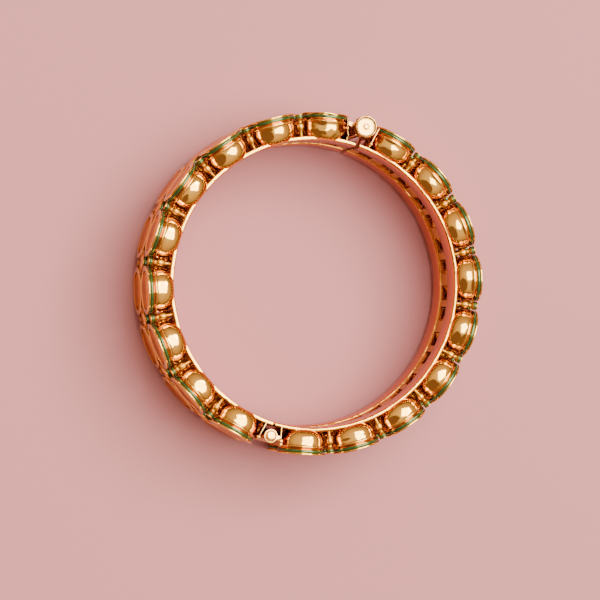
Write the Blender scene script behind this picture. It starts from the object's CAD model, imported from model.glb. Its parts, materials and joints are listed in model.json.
import json
import math

import bpy
from mathutils import Matrix, Vector, noise


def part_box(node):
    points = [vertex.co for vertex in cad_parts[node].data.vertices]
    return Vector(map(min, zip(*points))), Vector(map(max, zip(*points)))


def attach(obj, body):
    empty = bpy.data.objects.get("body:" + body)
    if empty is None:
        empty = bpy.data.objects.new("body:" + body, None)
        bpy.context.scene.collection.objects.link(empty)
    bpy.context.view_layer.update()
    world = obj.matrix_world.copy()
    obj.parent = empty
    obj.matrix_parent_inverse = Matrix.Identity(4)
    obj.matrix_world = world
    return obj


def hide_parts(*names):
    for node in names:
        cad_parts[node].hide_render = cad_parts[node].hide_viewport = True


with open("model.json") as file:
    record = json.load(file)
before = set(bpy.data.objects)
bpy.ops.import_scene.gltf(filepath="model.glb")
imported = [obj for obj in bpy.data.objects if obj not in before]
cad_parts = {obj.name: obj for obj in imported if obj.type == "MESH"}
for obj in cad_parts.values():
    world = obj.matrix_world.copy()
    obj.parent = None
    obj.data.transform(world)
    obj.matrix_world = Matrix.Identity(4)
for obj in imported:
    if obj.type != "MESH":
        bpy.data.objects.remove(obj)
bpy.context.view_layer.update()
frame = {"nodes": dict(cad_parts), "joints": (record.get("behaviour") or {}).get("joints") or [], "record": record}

mm = 0.001


def middleHeight(node):
    low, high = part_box(node)
    return (low.z + high.z) / 2 / mm


# Where the solids are, in millimetres: heights from the floor, radii from the ring's axis
ringY = frame["record"]["mounts"][0]["pos_m"][1] / mm
middleZ = frame["record"]["mounts"][0]["pos_m"][2] / mm
innerR = frame["record"]["mounts"][0]["dims"]["r_mm"]
sleeveH = frame["record"]["mounts"][0]["dims"]["length_mm"]
hingeR = ringY - frame["joints"][0]["pos_m"][1] / mm
screwLow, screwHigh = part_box("clasp_screw")
claspR = (screwLow.y + screwHigh.y) / 2 / mm - ringY
rowHeights = {"lower": middleHeight("stone_right_lower_5"), "upper": middleHeight("stone_right_upper_5")}
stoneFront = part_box("stone_right_upper_5")[1].x / mm

# Sizes that the pieces share, in millimetres
frontR = stoneFront - 0.2
columns = 9
columnPitch = 19.3
endAngle = (columns - 1) / 2 * columnPitch
sleeveT = 0.9
channelDepth = 0.3       # how far the channel's floor lies behind the bands' faces
sides = ("right", "left")


# Camera, floor and lights

cameraSetup = {
    "lens": 135.0,
    "sensor": 36.0,
    "distance": 470.5,
    "tilt": 12.9,          # away from the ring's axis
    "towards": 200.5,      # the ground direction it leans to, counted from +X
    "upright": 107.0,      # the ground direction that points up in the picture
    "target": (-2.35, -4.28, 18.6),   # from the ring's axis
}

lightSetup = {
    "keyPower": 2.5,
    "keySize": 0.3,
    "keyPlace": (0.42, 0.62, 0.75),
    "topPower": 30.0,
    "topColour": "#FFFDEC",
    "topSize": 0.9,
    "topTurn": 57.4,       # the window's edges run level and upright in the picture
    "topPlace": (0.23, 0.27, 0.88),
    # the room by height over the horizon: dim walls, a bright ceiling
    "roomSteps": [(0.0, "#5A4638"), (0.12, "#6E5646"), (0.26, "#B4967A"), (0.6, "#E4C298"), (1.0, "#FCE8C6")],
    "roomStrength": 1.45,
    "doorway": (-0.40, -0.72, 0.57),   # where the room is darkest
    "doorwayWidth": (0.80, 0.84),      # from its edge to where it is fully dark, as cosines
    "doorwayColour": "#7C5E58",
    "floorColour": "#AE7077",
    "floorSize": 1.6,
}


def toLinear(hexColour):
    parts = [int(hexColour[i:i + 2], 16) / 255 for i in (1, 3, 5)]
    return [p / 12.92 if p <= 0.04045 else ((p + 0.055) / 1.055) ** 2.4 for p in parts] + [1.0]


def aimAt(thing, target):
    direction = Vector(target) - thing.location
    thing.rotation_euler = direction.to_track_quat("-Z", "Y").to_euler()


def addCamera():
    tilt = math.radians(cameraSetup["tilt"])
    towards = math.radians(cameraSetup["towards"])
    upright = math.radians(cameraSetup["upright"])
    back = Vector((math.sin(tilt) * math.cos(towards), math.sin(tilt) * math.sin(towards), math.cos(tilt)))
    up = Vector((math.cos(upright), math.sin(upright), 0))
    up = (up - up.dot(back) * back).normalized()
    right = up.cross(back)
    target = (Vector(cameraSetup["target"]) + Vector((0, ringY, 0))) * mm
    bpy.ops.object.camera_add()
    camera = bpy.context.object
    camera.name = "photoCamera"
    camera.data.lens = cameraSetup["lens"]
    camera.data.sensor_width = cameraSetup["sensor"]
    turn = Matrix((right, up, back)).transposed().to_4x4()
    camera.matrix_world = Matrix.Translation(target + back * cameraSetup["distance"] * mm) @ turn
    bpy.context.scene.camera = camera


def addLight(name, power, size, place):
    bpy.ops.object.light_add(type="AREA", location=place)
    light = bpy.context.object
    light.name = name
    light.data.energy = power
    light.data.size = size
    aimAt(light, (0, 0, 0))
    return light


addCamera()
addLight("keyLight", lightSetup["keyPower"], lightSetup["keySize"], lightSetup["keyPlace"])
topLight = addLight("topLight", lightSetup["topPower"], lightSetup["topSize"], lightSetup["topPlace"])
topLight.data.color = toLinear(lightSetup["topColour"])[:3]
topLight.rotation_euler.rotate_axis("Z", math.radians(lightSetup["topTurn"]))


def addRoom():
    # a soft room light that grows from the walls to the ceiling
    room = bpy.data.worlds.new("softRoom")
    room.use_nodes = True
    nodes, links = room.node_tree.nodes, room.node_tree.links
    place = nodes.new("ShaderNodeTexCoord")
    split = nodes.new("ShaderNodeSeparateXYZ")
    ramp = nodes.new("ShaderNodeValToRGB")
    for i, (height, colour) in enumerate(lightSetup["roomSteps"]):
        step = ramp.color_ramp.elements[i] if i < 2 else ramp.color_ramp.elements.new(height)
        step.position = height
        step.color = toLinear(colour)
    links.new(place.outputs["Generated"], split.inputs["Vector"])
    links.new(split.outputs["Z"], ramp.inputs["Fac"])
    towards = nodes.new("ShaderNodeVectorMath")
    towards.operation = "DOT_PRODUCT"
    towards.inputs[1].default_value = Vector(lightSetup["doorway"]).normalized()
    links.new(place.outputs["Generated"], towards.inputs[0])
    shade = nodes.new("ShaderNodeMapRange")
    for socket, limit in zip(("From Min", "From Max"), lightSetup["doorwayWidth"]):
        shade.inputs[socket].default_value = limit
    links.new(towards.outputs["Value"], shade.inputs["Value"])
    dimmed = nodes.new("ShaderNodeMix")
    dimmed.data_type = "RGBA"
    dimmed.inputs["B"].default_value = toLinear(lightSetup["doorwayColour"])
    links.new(ramp.outputs["Color"], dimmed.inputs["A"])
    links.new(shade.outputs["Result"], dimmed.inputs["Factor"])
    links.new(dimmed.outputs["Result"], nodes["Background"].inputs["Color"])
    nodes["Background"].inputs["Strength"].default_value = lightSetup["roomStrength"]
    bpy.context.scene.world = room


addRoom()
print("camera and lights placed")


# Materials

def newMaterial(name):
    material = bpy.data.materials.new(name)
    material.use_nodes = True
    return material


def addNode(material, kind, values=None, links=None, **settings):
    node = material.node_tree.nodes.new(kind)
    for key, value in settings.items():
        setattr(node, key, value)
    for socket, value in (values or {}).items():
        node.inputs[socket].default_value = value
    for socket, source in (links or {}).items():
        material.node_tree.links.new(source, node.inputs[socket])
    return node


def shaderOf(material, values, links=None):
    shader = material.node_tree.nodes["Principled BSDF"]
    for socket, value in values.items():
        shader.inputs[socket].default_value = value
    for socket, source in (links or {}).items():
        material.node_tree.links.new(source, shader.inputs[socket])


def goldMaterial(name, bright, warm, deep, roughness, grain, waviness):
    # gold plate over polished cast brass: clean reflections, a slightly uneven skin, browner in the gaps
    material = newMaterial(name)
    place = addNode(material, "ShaderNodeTexCoord").outputs["Object"]
    patches = addNode(material, "ShaderNodeTexNoise", {"Scale": 1 / (4 * mm), "Detail": 3.0},
                      {"Vector": place})
    tone = addNode(material, "ShaderNodeMix", {"A": toLinear(warm), "B": toLinear(bright)},
                   {"Factor": patches.outputs["Fac"]}, data_type="RGBA")
    hollow = addNode(material, "ShaderNodeAmbientOcclusion", {"Distance": 2.4 * mm}, samples=6)
    depth = addNode(material, "ShaderNodeMapRange", {"From Min": 0.2, "From Max": 0.95},
                    {"Value": hollow.outputs["AO"]})
    colour = addNode(material, "ShaderNodeMix", {"A": toLinear(deep)},
                     {"Factor": depth.outputs["Result"], "B": tone.outputs["Result"]}, data_type="RGBA")
    fine = addNode(material, "ShaderNodeTexNoise", {"Scale": 1 / (0.5 * mm), "Detail": 4.0},
                   {"Vector": place})
    polish = addNode(material, "ShaderNodeMapRange",
                     {"From Min": 0.3, "From Max": 0.7, "To Min": roughness * 0.7, "To Max": roughness * 1.5},
                     {"Value": fine.outputs["Fac"]})
    waves = addNode(material, "ShaderNodeBump", {"Strength": 1.0, "Distance": waviness * mm},
                    {"Height": patches.outputs["Fac"]})
    skin = addNode(material, "ShaderNodeBump", {"Strength": 1.0, "Distance": grain * mm},
                   {"Height": fine.outputs["Fac"], "Normal": waves.outputs["Normal"]})
    shaderOf(material, {"Metallic": 1.0},
             {"Base Color": colour.outputs["Result"], "Roughness": polish.outputs["Result"],
              "Normal": skin.outputs["Normal"]})
    return material


# name, bright, warm and deep colour, roughness, then grain and waviness in millimetres
goldPlate = goldMaterial("goldPlatedBrass", "#F8C868", "#F0B04C", "#DC9C1A", 0.09, 0.005, 0.09)
goldSleeve = goldMaterial("goldPlatedSleeve", "#F2BC5C", "#E4A442", "#C8821E", 0.1, 0.01, 0.5)
goldInside = goldMaterial("goldRubbedByTheWrist", "#EC8C42", "#E67C34", "#B45020", 0.15, 0.008, 0.1)
goldCast = goldMaterial("goldPlatedRoughCasting", "#DCA030", "#BC7C18", "#80500C", 0.34, 0.01, 0.1)
goldPierced = goldMaterial("tarnishedCutEdges", "#9C4A20", "#7E3414", "#5A220C", 0.4, 0.03, 0.1)
goldFittings = goldMaterial("turnedGoldFittings", "#F8CC78", "#EEB05C", "#9C5418", 0.16, 0.006, 0.1)


def enamelMaterial():
    # clear green enamel over the metal: a green mirror under a glassy skin, darker where it pools
    material = newMaterial("vitreousGreenEnamel")
    place = addNode(material, "ShaderNodeTexCoord").outputs["Object"]
    pools = addNode(material, "ShaderNodeTexNoise", {"Scale": 1 / (1.2 * mm), "Detail": 2.0},
                    {"Vector": place})
    colour = addNode(material, "ShaderNodeMix", {"A": toLinear("#16180A"), "B": toLinear("#4A7034")},
                     {"Factor": pools.outputs["Fac"]}, data_type="RGBA")
    shaderOf(material, {"Metallic": 0.6, "Roughness": 0.2, "IOR": 1.5, "Coat Weight": 0.5,
                        "Coat Roughness": 0.05},
             {"Base Color": colour.outputs["Result"]})
    return material


def stoneMaterial():
    # flat-cut clear stone over gold foil: the foil's crinkles show through a glassy face
    material = newMaterial("foilBackedStone")
    place = addNode(material, "ShaderNodeTexCoord").outputs["Object"]
    crinkle = addNode(material, "ShaderNodeTexNoise", {"Scale": 1 / (1.1 * mm), "Detail": 3.0},
                      {"Vector": place})
    foil = addNode(material, "ShaderNodeBump", {"Strength": 0.45, "Distance": 0.15 * mm},
                   {"Height": crinkle.outputs["Fac"]})
    colour = addNode(material, "ShaderNodeMix", {"A": toLinear("#D08238"), "B": toLinear("#F8C476")},
                     {"Factor": crinkle.outputs["Fac"]}, data_type="RGBA")
    shaderOf(material, {"Metallic": 1.0, "Roughness": 0.16, "Coat Weight": 0.25, "Coat Roughness": 0.02,
                        "Coat IOR": 1.5, "Specular Tint": toLinear("#E8B878")},
             {"Base Color": colour.outputs["Result"], "Normal": foil.outputs["Normal"]})
    return material


greenEnamel = enamelMaterial()
foilStone = stoneMaterial()


def floorMaterial():
    # matt pale pink board
    material = newMaterial("palePinkBoard")
    shaderOf(material, {"Base Color": toLinear(lightSetup["floorColour"]), "Roughness": 0.9})
    return material


def paint(piece, material):
    piece.data.materials.clear()
    piece.data.materials.append(material)


print("materials ready")


# Modelling helpers, all in millimetres

def startEdit():
    bpy.ops.object.mode_set(mode="EDIT")
    bpy.ops.mesh.select_all(action="SELECT")


def endEdit():
    bpy.ops.mesh.select_all(action="SELECT")
    bpy.ops.mesh.normals_make_consistent(inside=False)
    bpy.ops.object.mode_set(mode="OBJECT")


def smooth(piece, angle=40):
    chooseOnly([piece])
    bpy.ops.object.shade_smooth_by_angle(angle=math.radians(angle))


def chooseOnly(pieces):
    bpy.ops.object.select_all(action="DESELECT")
    for piece in pieces:
        piece.select_set(True)
    bpy.context.view_layer.objects.active = pieces[0]


def turned(name, profile, segments, closed=False):
    # a piece turned about the Z axis: the profile is (radius, height) steps
    # a closed profile ends where it starts
    radius, height = profile[0]
    bpy.ops.object.select_all(action="DESELECT")
    bpy.ops.mesh.primitive_circle_add(vertices=segments, radius=radius * mm,
                                      fill_type="NOTHING" if closed else "NGON")
    piece = bpy.context.object
    piece.name = name
    startEdit()
    bpy.ops.transform.translate(value=(0, 0, height * mm))
    steps = profile[1:] + (profile[:1] if closed else [])
    for nextRadius, nextHeight in steps:
        bpy.ops.mesh.extrude_region_move(
            TRANSFORM_OT_translate={"value": (0, 0, (nextHeight - height) * mm)})
        grow = nextRadius / radius
        bpy.ops.transform.resize(value=(grow, grow, 1), center_override=(0, 0, 0))
        radius, height = nextRadius, nextHeight
    if closed:
        bpy.ops.mesh.select_all(action="SELECT")
        bpy.ops.mesh.remove_doubles(threshold=0.001 * mm)
    endEdit()
    smooth(piece)
    return piece


def block(name, low, high, bevel=0.06):
    # a box between two corners with eased edges
    bpy.ops.object.select_all(action="DESELECT")
    bpy.ops.mesh.primitive_cube_add(size=1)
    piece = bpy.context.object
    piece.name = name
    startEdit()
    size = [(end - start) * mm for start, end in zip(low, high)]
    bpy.ops.transform.resize(value=size, center_override=(0, 0, 0))
    bpy.ops.transform.translate(value=[(start + end) / 2 * mm for start, end in zip(low, high)])
    bpy.ops.mesh.bevel(offset=bevel * mm, segments=2, affect="EDGES")
    endEdit()
    smooth(piece)
    return piece


def copied(piece, name):
    twin = piece.copy()
    twin.data = piece.data.copy()
    twin.name = name
    bpy.context.collection.objects.link(twin)
    return twin


def applyPlace(pieces):
    chooseOnly(pieces)
    bpy.ops.object.transform_apply(location=True, rotation=True, scale=True)


def joined(pieces, name):
    chooseOnly(pieces)
    bpy.ops.object.join()
    pieces[0].name = name
    return pieces[0]


def drop(piece):
    bpy.data.objects.remove(piece, do_unlink=True)


def worldAngle(side, angle):
    return math.radians(angle if side == "right" else 180 - angle)


def standing(angle, height):
    # where a piece modelled along +Z stands outwards from the ring's axis
    turn = Matrix.Rotation(angle, 4, "Z") @ Matrix.Rotation(math.radians(90), 4, "Y")
    return Matrix.Translation((0, ringY * mm, height * mm)) @ turn


# without a seed the noise takes its offset from the clock, and every build comes out a little different
noiseSeed = 7
noise.seed_set(noiseSeed)


def uneven(piece, amount, wave):
    # hand-made unevenness: every vertex moves a little, by a smooth noise in space
    for vertex in piece.data.vertices:
        vertex.co += noise.noise_vector(vertex.co / (wave * mm)) * amount * mm


def finishPiece(piece, material, body):
    paint(piece, material)
    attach(piece, body)


# Large settings: round bowls with a beaded rim and a gold bezel round the stone

largeSetting = {
    "bowlR": 4.75,
    # the depth of the full round, which ends in the sleeve's wall: the left half's bowls reach over its edge
    "bowlDepth": {"right": 3.7, "left": 4.25},
    "bowlFullness": 2.7,           # 2 is a plain half ellipse
    "bowlBack": {"right": innerR + 0.45, "left": innerR + 0.08},
    "bowlFront": frontR - 2.0,     # where the bowl is widest
    "bowlSteps": 10,
    "floorCover": 0.12,            # how deep the bowl's back lies behind the channel's floor
    "bandCover": 0.5,              # and how far beyond the channel's edges
    "enamelBack": frontR - 1.06,
    "enamelFront": frontR - 0.4,
    "enamelSeat": 4.83,
    "enamelR": 5.07,
    "rimR": 5.1,
    "lipR": 4.0,                   # inner edge of the bezel, over the stone's girdle
    "seatR": 4.1,
    "seatBack": frontR - 0.9,
    "segments": 64,
    "unevenness": 0.055,
    "wave": 2.3,
    "dented": "cup_left_upper_9",  # by the clasp
    "dents": 0.2,
    "dentWave": 1.1,
}


def largeProfile(side):
    s = largeSetting
    power = 2 / s["bowlFullness"]
    depth = s["bowlDepth"][side]
    back = math.asin(((s["bowlFront"] - s["bowlBack"][side]) / depth) ** (1 / power))
    profile = []
    for i in range(s["bowlSteps"] + 1):
        angle = back * (1 - i / s["bowlSteps"])
        profile.append((s["bowlR"] * math.cos(angle) ** power,
                        s["bowlFront"] - depth * math.sin(angle) ** power))
    bead = s["bowlFront"] + 0.3
    groove = bead + 0.34
    profile += [(4.82, bead - 0.22), (4.92, bead - 0.17), (4.98, bead - 0.06), (4.98, bead + 0.06),
                (4.91, bead + 0.16)]
    profile += [(4.66, groove - 0.12), (4.6, groove), (4.66, groove + 0.1)]
    profile += [(4.94, s["enamelBack"] - 0.06), (4.97, s["enamelBack"] - 0.03)]
    profile += [(s["enamelSeat"], s["enamelBack"]), (s["enamelSeat"], s["enamelFront"])]
    profile += [(4.99, s["enamelFront"] + 0.02), (5.05, frontR - 0.32), (s["rimR"], frontR - 0.22),
                (s["rimR"], frontR - 0.1), (5.06, frontR - 0.02), (4.97, frontR + 0.03)]
    profile += [(4.7, frontR + 0.07), (4.42, frontR + 0.13), (4.25, frontR + 0.13), (4.1, frontR + 0.07),
                (s["lipR"], frontR - 0.03), (s["lipR"] + 0.02, frontR - 0.1), (s["seatR"], frontR - 0.15)]
    profile += [(s["seatR"], s["seatBack"])]
    return profile


def enamelProfile(outerR, seatR, back, front):
    middle = (back + front) / 2
    quarter = (front - back) / 4
    return [(seatR + 0.01, back + 0.02), (outerR - 0.12, back + 0.03), (outerR - 0.03, middle - quarter),
            (outerR, middle), (outerR - 0.03, middle + quarter), (outerR - 0.12, front - 0.03),
            (seatR + 0.01, front - 0.02)]


def clearChannel(cup):
    # a bowl's back stays behind the channel's floor, also a little way into the bands' metal
    reach = (sleeveH / 6 + largeSetting["bandCover"]) * mm
    floor = (innerR + channelDepth + largeSetting["floorCover"]) * mm
    for vertex in cup.data.vertices:
        out = Vector((vertex.co.x, vertex.co.y - ringY * mm, 0))
        if abs(vertex.co.z - middleZ * mm) < reach and out.length < floor:
            vertex.co += out.normalized() * (floor - out.length)


def columnAngle(n):
    return (n - 1) * columnPitch - endAngle


cupModels = {side: turned("cupModel", largeProfile(side), largeSetting["segments"]) for side in sides}
ringProfile = enamelProfile(largeSetting["enamelR"], largeSetting["enamelSeat"],
                            largeSetting["enamelBack"], largeSetting["enamelFront"])
ringModel = turned("ringModel", ringProfile, largeSetting["segments"], closed=True)
cups = []
enamelParts = {side: [] for side in sides}
for side in sides:
    for row, height in rowHeights.items():
        for n in range(1, columns + 1):
            place = standing(worldAngle(side, columnAngle(n)), height)
            cup = copied(cupModels[side], f"cup_{side}_{row}_{n}")
            cup.matrix_world = place
            cups.append((cup, side))
            ring = copied(ringModel, "ring")
            ring.matrix_world = place
            enamelParts[side].append(ring)
applyPlace([cup for cup, side in cups])
for cup, side in cups:
    uneven(cup, largeSetting["unevenness"], largeSetting["wave"])
    if cup.name == largeSetting["dented"]:
        uneven(cup, largeSetting["dents"], largeSetting["dentWave"])
    clearChannel(cup)
    finishPiece(cup, goldPlate, f"{side}_half")
for model in (*cupModels.values(), ringModel):
    drop(model)
print("large settings placed")


# Small settings: goblets between the large ones, with a small enamel line

smallSettings = {
    "mid": {"d": 4.6, "back": 30.9, "front": frontR + 0.2, "groove": 0.7, "segments": 40},
    "edge": {"d": 1.8, "back": 30.95, "front": frontR - 0.1, "groove": 0.6, "segments": 28},
}
edgeShift = 1.7      # how far the edge ones stand beyond the rows' middles
footR = 0.8
neckR = 0.46
# unevenness: how far the surface wanders, and over what length
gobletUneven = (0.03, 1.5)
enamelUneven = (0.02, 1.8)


def gobletParts(kind):
    s = smallSettings[kind]
    rimR = s["d"] / 2
    front = s["front"]
    groove = front - 0.2 - s["groove"]
    neck = groove - 0.8
    foot = neck - 0.75
    depth = min(0.14, 0.12 * rimR)
    seatR = rimR - min(0.35, 0.12 * s["d"])
    seatDepth = min(0.6, 0.22 * s["d"])
    body = [(footR * 0.45, s["back"]), (footR * 0.5, foot - 1.35), (footR * 0.72, foot - 1.0),
            (footR * 0.93, foot - 0.6), (footR, foot - 0.2), (footR * 0.97, foot + 0.1),
            (footR * 0.84, foot + 0.35), (neckR + 0.05, neck - 0.22), (neckR, neck),
            (neckR + 0.02, neck + 0.2), (neckR + 0.14, neck + 0.38), (rimR - 0.14, groove - 0.2),
            (rimR - 0.05, groove - 0.12), (rimR, groove - 0.04)]
    body += [(rimR - depth, groove), (rimR - depth, groove + s["groove"])]
    body += [(rimR, groove + s["groove"] + 0.03), (rimR, front - 0.05), (rimR - 0.05, front),
             (seatR + 0.03, front), (seatR, front - 0.04), (seatR, front - seatDepth)]
    goblet = turned("goblet", body, s["segments"])
    line = turned("line", enamelProfile(rimR + 0.005, rimR - depth, groove, groove + s["groove"]),
                  s["segments"], closed=True)
    return goblet, line


goblets = {side: [] for side in sides}
for kind in smallSettings:
    goblet, line = gobletParts(kind)
    heights = [middleZ]
    if kind == "edge":
        heights = [rowHeights["lower"] - edgeShift, rowHeights["upper"] + edgeShift]
    for side in sides:
        for n in range(1, columns):
            for height in heights:
                place = standing(worldAngle(side, columnAngle(n) + columnPitch / 2), height)
                for model, group in ((goblet, goblets), (line, enamelParts)):
                    twin = copied(model, model.name)
                    twin.matrix_world = place
                    group[side].append(twin)
    drop(goblet)
    drop(line)
for side in sides:
    applyPlace(goblets[side])
    gobletSet = joined(goblets[side], f"goblets_{side}")
    uneven(gobletSet, *gobletUneven)
    finishPiece(gobletSet, goldCast, f"{side}_half")
    applyPlace(enamelParts[side])
    enamelSet = joined(enamelParts[side], f"enamel_lines_{side}")
    uneven(enamelSet, *enamelUneven)
    finishPiece(enamelSet, greenEnamel, f"{side}_half")
    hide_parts(f"{side}_enamel")
print("small settings and enamel placed")


# Sleeve: two plain bands and the sunk, pierced channel between them

sleeve = {
    "hingeGap": 0.6,
    "claspGap": 1.0,
    "channelH": sleeveH / 3,
    "channelLap": 0.3,       # how far the channel's floor runs into the bands
    "channelInset": 0.02,    # keeps its outer face off the bands' outer faces
    "edgeR": {"right": 0.4, "left": 0.3},    # rounding of the edges, more worn on the right half
    "windowL": 3.1,
    "windowH": 4.0,
    "windowAngle": 5.33,
    "windowEase": 0.06,
    "wristward": -0.7,       # a face turned inwards by more than this is painted as the wrist's side
    "stepAngle": 1.5,
    "unevenness": 0.06,
    "wave": 5.0,
}


def spunBand(name, inner, outer, low, high, rounding, start, end):
    # a rounded section that runs round the ring's axis from one angle to another
    bpy.ops.object.select_all(action="DESELECT")
    bpy.ops.mesh.primitive_plane_add(size=1)
    band = bpy.context.object
    band.name = name
    startEdit()
    bpy.ops.transform.resize(value=((outer - inner) * mm, (high - low) * mm, 1), center_override=(0, 0, 0))
    bpy.ops.mesh.bevel(offset=rounding * mm, segments=4, affect="VERTICES")
    bpy.ops.transform.rotate(value=math.radians(-90), orient_axis="X", center_override=(0, 0, 0))
    bpy.ops.transform.translate(value=((inner + outer) / 2 * mm, 0, (low + high) / 2 * mm))
    bpy.ops.mesh.spin(steps=round((end - start) / sleeve["stepAngle"]), angle=math.radians(start - end),
                      center=(0, 0, 0), axis=(0, 0, 1))
    endEdit()
    band.rotation_euler = (0, 0, math.radians(start))
    applyPlace([band])
    return band


def cutWindows(band, middleAngles):
    cutters = []
    for angle in middleAngles:
        cutter = block("cutter", (innerR - 1, -sleeve["windowL"] / 2, middleZ - sleeve["windowH"] / 2),
                       (innerR + 2, sleeve["windowL"] / 2, middleZ + sleeve["windowH"] / 2), 0.15)
        cutter.rotation_euler = (0, 0, math.radians(angle))
        cutters.append(cutter)
    applyPlace(cutters)
    tool = joined(cutters, "windowTool")
    chooseOnly([band])
    cut = band.modifiers.new("windows", "BOOLEAN")
    cut.object = tool
    cut.operation = "DIFFERENCE"
    bpy.ops.object.modifier_apply(modifier=cut.name)
    ease = band.modifiers.new("ease", "BEVEL")
    ease.width = sleeve["windowEase"] * mm
    ease.segments = 2
    ease.limit_method = "ANGLE"
    ease.angle_limit = math.radians(50)
    bpy.ops.object.modifier_apply(modifier=ease.name)
    drop(tool)


def paintSleeve(whole, channelFaces):
    # rubbed gold towards the wrist, rough casting in the channel, tarnish on the windows' cut walls
    whole.data.materials.clear()
    for material in (goldSleeve, goldInside, goldCast, goldPierced):
        whole.data.materials.append(material)
    axis = Vector((0, ringY * mm, 0))
    for polygon in whole.data.polygons:
        outwards = polygon.center - axis
        outwards.z = 0
        inwards = polygon.normal.dot(outwards.normalized()) < sleeve["wristward"]
        if polygon.index >= channelFaces:
            polygon.material_index = 2 if inwards else 3
        else:
            polygon.material_index = 1 if inwards else 0


def buildSleeve(side):
    s = sleeve
    atClasp = 90 - math.degrees(s["claspGap"] / 2 / innerR)
    atHinge = -90 + math.degrees(s["hingeGap"] / 2 / innerR)
    start, end = (atHinge, atClasp) if side == "right" else (180 - atClasp, 180 - atHinge)
    low = middleZ - sleeveH / 2
    outer = innerR + sleeveT
    edgeR = s["edgeR"][side]
    channelLow = low + s["channelH"]
    channelHigh = low + 2 * s["channelH"]
    lowBand = spunBand("lowBand", innerR, outer, low, channelLow, edgeR, start, end)
    highBand = spunBand("highBand", innerR, outer, channelHigh, low + sleeveH, edgeR, start, end)
    channel = spunBand("channel", innerR + channelDepth, outer - s["channelInset"],
                       channelLow - s["channelLap"], channelHigh + s["channelLap"], 0.05, start, end)
    windows = [columnAngle(n) + t * s["windowAngle"] for n in range(1, columns + 1) for t in (-1, 1)]
    cutWindows(channel, [a if side == "right" else 180 - a for a in windows])
    channelFaces = len(lowBand.data.polygons) + len(highBand.data.polygons)
    whole = joined([lowBand, highBand, channel], f"sleeve_{side}")
    whole.location = (0, ringY * mm, 0)
    applyPlace([whole])
    uneven(whole, s["unevenness"], s["wave"])
    smooth(whole, 35)
    finishPiece(whole, goldSleeve, f"{side}_half")
    paintSleeve(whole, channelFaces)
    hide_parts(f"{side}_half")


for side in sides:
    buildSleeve(side)
print("sleeve built")


# Ends of the halves: plates along the end columns, hinge tubes and clasp tubes

ends = {
    "plateT": 0.24,
    "plateLap": 0.25,                           # how deep the plates' inner edges lie in the sleeve
    "platePast": {"hinge": 1.1, "clasp": 1.0},  # how far the plates reach past the tubes' axes
    "crumple": 0.16,
    "crumpleWaves": (2.2, 0.8),
    # solder balls on the plates: half, end, way out from the plate's inner end, radius
    "balls": [("right", "clasp", 0.75, 0.45), ("left", "clasp", 2.4, 0.5), ("left", "hinge", 3.2, 0.5),
              ("right", "hinge", 2.7, 0.6), ("right", "hinge", 3.4, 0.5)],
    "ballSink": 0.4,                            # the share of its radius that a ball lies below the edge
    "hingePlateY": 5.2,
    "claspPlateY": 4.4,
    "webT": 1.0,
    "tubeGap": 0.2,
    "hingeTubeR": 1.5,
    "hingeBoreR": 1.1,
    "claspTubeR": 1.5,
    "claspBoreR": 0.85,
    "tubeEase": 0.12,
    "segments": 48,
    "unevenness": 0.04,
    "wave": 1.6,
}
tubeH = (sleeveH - 2 * ends["tubeGap"]) / 3
tubeLow = [middleZ - sleeveH / 2 + i * (tubeH + ends["tubeGap"]) for i in range(3)]


def plateX(plateY, axisR):
    turn = math.radians(endAngle)
    return (axisR * math.cos(turn) - plateY) / math.sin(turn)


def endPlate(side, angle, plateY, reach):
    t = ends["plateT"]
    low = middleZ - sleeveH / 2
    inner = math.sqrt((innerR + sleeveT - ends["plateLap"]) ** 2 - plateY ** 2)
    plate = block("plate", (inner, plateY - t / 2, low), (reach, plateY + t / 2, low + sleeveH), 0.1)
    mirror = 1 if side == "right" else -1
    plate.matrix_world = (Matrix.Translation((0, ringY * mm, 0)) @ Matrix.Scale(mirror, 4, (1, 0, 0))
                          @ Matrix.Rotation(math.radians(angle), 4, "Z"))
    return plate


def crumpled(plate):
    longWave, shortWave = ends["crumpleWaves"]
    chooseOnly([plate])
    startEdit()
    bpy.ops.mesh.subdivide(number_cuts=9)
    endEdit()
    uneven(plate, ends["crumple"] * 2, longWave)
    uneven(plate, ends["crumple"], shortWave)


def solderBall(plates, end, wayOut, radius):
    plate = plates[0] if end == "hinge" else plates[1]
    plateY = -ends["hingePlateY"] if end == "hinge" else ends["claspPlateY"]
    inner = math.sqrt((innerR + sleeveT) ** 2 - plateY ** 2)
    place = Vector((inner + wayOut, plateY, middleZ + sleeveH / 2 - radius * ends["ballSink"])) * mm
    bpy.ops.object.select_all(action="DESELECT")
    bpy.ops.mesh.primitive_uv_sphere_add(segments=24, ring_count=16, radius=radius * mm)
    ball = bpy.context.object
    smooth(ball)
    ball.matrix_world = plate.matrix_world @ Matrix.Translation(place)
    return ball


def tube(side, axisY, outerR, boreR, low, webX):
    ease = ends["tubeEase"]
    high = low + tubeH
    profile = [(boreR, low + ease), (boreR + ease, low), (outerR - ease, low), (outerR, low + ease),
               (outerR, high - ease), (outerR - ease / 3, high - ease / 3), (outerR - ease, high),
               (boreR + ease, high), (boreR, high - ease)]
    ring = turned("tube", profile, ends["segments"], closed=True)
    web = block("web", (boreR + 0.1, -ends["webT"] / 2, low), (webX, ends["webT"] / 2, high), 0.1)
    mirror = 1 if side == "right" else -1
    for piece in (ring, web):
        piece.matrix_world = (Matrix.Translation((0, (ringY + axisY) * mm, 0))
                              @ Matrix.Scale(mirror, 4, (1, 0, 0)))
    return [ring, web]


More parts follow.
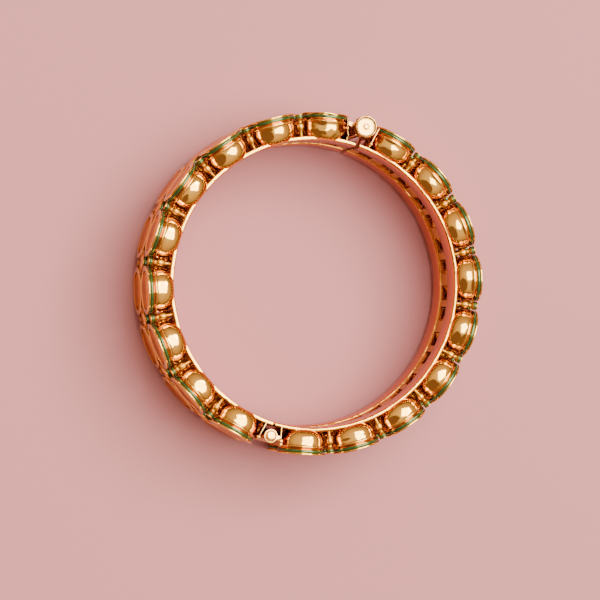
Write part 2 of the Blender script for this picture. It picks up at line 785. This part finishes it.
def buildEnds(side, hingeLevels, claspLevels):
    past = ends["platePast"]
    pieces = [endPlate(side, -endAngle, -ends["hingePlateY"], hingeR + past["hinge"]),
              endPlate(side, endAngle, ends["claspPlateY"], claspR + past["clasp"])]
    if side == "left":
        crumpled(pieces[1])
    pieces += [solderBall(pieces, end, wayOut, radius)
               for half, end, wayOut, radius in ends["balls"] if half == side]
    hingeWeb = plateX(ends["hingePlateY"], hingeR)
    claspWeb = plateX(ends["claspPlateY"], claspR)
    for level in hingeLevels:
        pieces += tube(side, -hingeR, ends["hingeTubeR"], ends["hingeBoreR"], tubeLow[level], hingeWeb)
    for level in claspLevels:
        pieces += tube(side, claspR, ends["claspTubeR"], ends["claspBoreR"], tubeLow[level], claspWeb)
    applyPlace(pieces)
    for piece in pieces:
        chooseOnly([piece])
        startEdit()
        endEdit()
    whole = joined(pieces, f"ends_{side}")
    uneven(whole, ends["unevenness"], ends["wave"])
    finishPiece(whole, goldFittings, f"{side}_half")


buildEnds("right", (0, 2), (1,))
buildEnds("left", (1,), (0, 2))
print("hinge and clasp tubes built")


# Hinge pin and clasp screw

pin = {
    "r": 1.05,
    "segments": 40,
    "unevenness": 0.04,
    "wave": 0.9,
}


def buildPin():
    # a rod with both ends riveted to low domes
    low = middleZ - sleeveH / 2
    high = low + sleeveH
    profile = [(0.7, low - 0.16), (0.98, low - 0.1), (pin["r"], low), (pin["r"], high - 0.02),
               (1.0, high + 0.1), (0.9, high + 0.16), (0.45, high + 0.2), (0.1, high + 0.21)]
    rod = turned("hingePin", profile, pin["segments"])
    rod.location = (0, (ringY - hingeR) * mm, 0)
    applyPlace([rod])
    uneven(rod, pin["unevenness"], pin["wave"])
    finishPiece(rod, goldFittings, "left_half")
    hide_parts("hinge_pin")


screw = {
    "headR": 2.3,
    "headH": 3.2,
    "shaftR": 0.8,
    "shaftShort": 0.3,       # how far the shaft's tip ends above the sleeve's lower edge
    "seatGap": 0.02,         # between the head and the sleeve's upper edge
    "knurls": 34,
    "knurlDepth": 0.2,
}


def buildScrew():
    s = screw
    base = middleZ + sleeveH / 2 + s["seatGap"]
    top = base + s["headH"]
    low = middleZ - sleeveH / 2 + s["shaftShort"]
    r = s["headR"]
    profile = [(s["shaftR"] - 0.1, low), (s["shaftR"], low + 0.1), (s["shaftR"], base), (r - 0.3, base),
               (r - 0.08, base + 0.1), (r, base + 0.3), (r, top - 0.2), (r - 0.05, top - 0.08),
               (r - 0.12, top - 0.02), (r - 0.2, top), (r - 0.28, top - 0.03), (r - 0.36, top - 0.12),
               (r - 0.5, top - 0.2), (1.1, top - 0.2), (0.66, top - 0.22), (0.58, top - 0.34),
               (0.54, top - 0.3), (0.5, top - 0.12), (0.42, top - 0.04), (0.25, top), (0.05, top)]
    head = turned("claspScrew", profile, s["knurls"] * 4)
    # the head's side is pressed in by turns, which leaves the knurls
    for vertex in head.data.vertices:
        radius = math.hypot(vertex.co.x, vertex.co.y) / mm
        if radius > r - 0.1 and vertex.co.z > base * mm:
            turn = math.degrees(math.atan2(vertex.co.y, vertex.co.x)) % (360 / s["knurls"])
            if turn < 90 / s["knurls"] or turn > 270 / s["knurls"]:
                shrink = 1 - s["knurlDepth"] / radius
                vertex.co.x *= shrink
                vertex.co.y *= shrink
    head.location = (0, (ringY + claspR) * mm, 0)
    applyPlace([head])
    smooth(head, 30)
    finishPiece(head, goldFittings, "clasp_screw")
    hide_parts("clasp_screw")


buildPin()
buildScrew()
print("pin and screw built")


# Floor and the solids that stay

bpy.ops.object.select_all(action="DESELECT")
bpy.ops.mesh.primitive_plane_add(size=lightSetup["floorSize"])
floor = bpy.context.object
floor.name = "floor"
paint(floor, floorMaterial())

for nodeName, node in frame["nodes"].items():
    if nodeName.startswith("stone_") or nodeName.endswith("small_stones"):
        paint(node, foilStone)
    elif nodeName.endswith("enamel"):
        paint(node, greenEnamel)
    elif nodeName in ("hinge_pin", "clasp_screw"):
        paint(node, goldFittings)
    else:
        paint(node, goldPlate)
